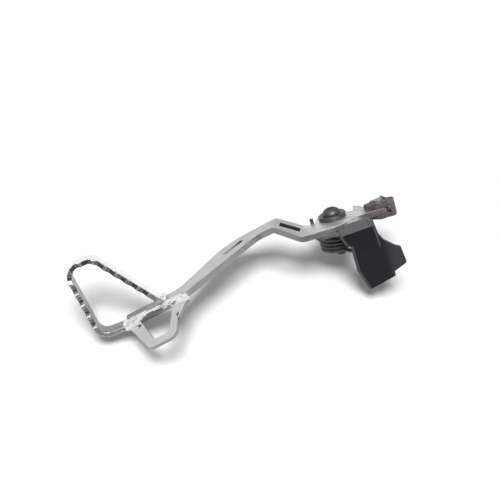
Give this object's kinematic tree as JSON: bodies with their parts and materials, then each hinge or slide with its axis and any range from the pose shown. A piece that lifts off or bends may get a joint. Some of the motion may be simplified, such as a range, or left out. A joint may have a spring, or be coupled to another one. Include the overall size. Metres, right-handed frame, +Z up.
{
  "type": "rear brake pedal",
  "caption": "Bent steel motorbike rear brake pedal with toothed toe hoop, step loop, sprung pivot, black plastic spring guard and rear clevis for the master cylinder rod.",
  "frame": {"origin": "on the pivot axis, at the thrust washer's inner face, where the bike's frame begins", "axes": "the pose in which the pedal lies on a table: +Z up, -X towards the toe, -Y towards the side that is the upper side on the bike"},
  "size_m": [0.245, 0.1215, 0.0635],
  "materials": {
    "arm_finish": "satin silver, scratched round the pivot",
    "hoop_steel": "bare steel, polished on the tooth crests",
    "weld_metal": "rough weld bead",
    "bush_bronze": "plain turned",
    "plain_steel": "dull grey",
    "spring_steel": "dark dull",
    "clevis_iron": "brown, lightly rusted",
    "guard_plastic": "satin black"
  },
  "bodies": {
    "pivot": {"pivot_bolt": "plain_steel", "pivot_washer": "plain_steel", "pivot_sleeve": "plain_steel", "thrust_washer": "plain_steel"},
    "pedal": {"pedal_arm": "arm_finish", "toe_hoop": "hoop_steel", "hoop_welds": "weld_metal", "step_loop": "arm_finish", "loop_welds": "weld_metal", "pivot_boss": "arm_finish", "boss_weld": "weld_metal", "pivot_bush": "bush_bronze", "return_spring": "spring_steel", "spring_guard": "guard_plastic", "guard_screws": "plain_steel"},
    "clevis": {"clevis_fork": "clevis_iron", "clevis_pin": "clevis_iron", "clevis_washer": "clevis_iron", "clevis_clip": "plain_steel"}
  },
  "joints": [
    {"name": "pedal_hinge", "type": "hinge", "parent": "pivot", "child": "pedal", "pos_m": [0, 0, 0], "axis": [0.2807, -0.5213, -0.8059], "range_deg": [0, 14], "stiffness_Nm_per_rad": 4, "springref_deg": -20.05, "deforming": ["return_spring"]},
    {"name": "clevis_hinge", "type": "hinge", "parent": "pedal", "child": "clevis", "pos_m": [0.02932, 0.01658, 0.02436], "axis": [-0.2807, 0.5213, 0.8059], "range_deg": [-15, 15]}
  ]
}
